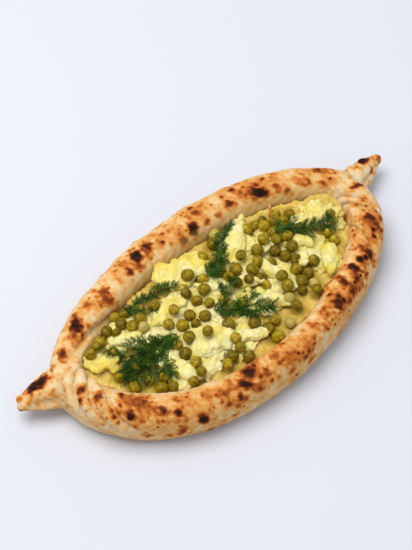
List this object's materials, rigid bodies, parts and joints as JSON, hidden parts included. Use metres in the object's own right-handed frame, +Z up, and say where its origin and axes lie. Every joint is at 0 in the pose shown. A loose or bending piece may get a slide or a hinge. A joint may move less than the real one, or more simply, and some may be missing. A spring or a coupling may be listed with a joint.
{
  "type": "khachapuri",
  "caption": "Open boat-shaped bread with a rolled, browned rim and a twisted horn at each end, filled with a mash, green peas, scrambled egg and dill.",
  "frame": {"origin": "under the middle of the bread, on the surface that it lies on", "axes": "+X along the bread towards its right horn, +Y across it towards the side that is farther off in the picture, +Z up"},
  "size_m": [0.3256, 0.1515, 0.0414],
  "materials": {
    "baked_dough": "matte, browned and blistered",
    "mash_and_peas": "moist",
    "scrambled_egg": "moist",
    "pea_skin": "glossy",
    "dill": "satin"
  },
  "bodies": {
    "root": {"crust": "baked_dough", "filling": "mash_and_peas", "egg_1": "scrambled_egg", "egg_2": "scrambled_egg", "egg_3": "scrambled_egg", "egg_4": "scrambled_egg", "egg_5": "scrambled_egg", "egg_6": "scrambled_egg", "egg_7": "scrambled_egg", "egg_8": "scrambled_egg", "egg_9": "scrambled_egg", "egg_10": "scrambled_egg", "egg_11": "scrambled_egg", "egg_12": "scrambled_egg", "egg_13": "scrambled_egg", "egg_14": "scrambled_egg", "egg_15": "scrambled_egg", "egg_16": "scrambled_egg", "egg_17": "scrambled_egg", "pea_1": "pea_skin", "pea_2": "pea_skin", "pea_3": "pea_skin", "pea_4": "pea_skin", "pea_5": "pea_skin", "pea_6": "pea_skin", "pea_7": "pea_skin"}
  },
  "joints": []
}
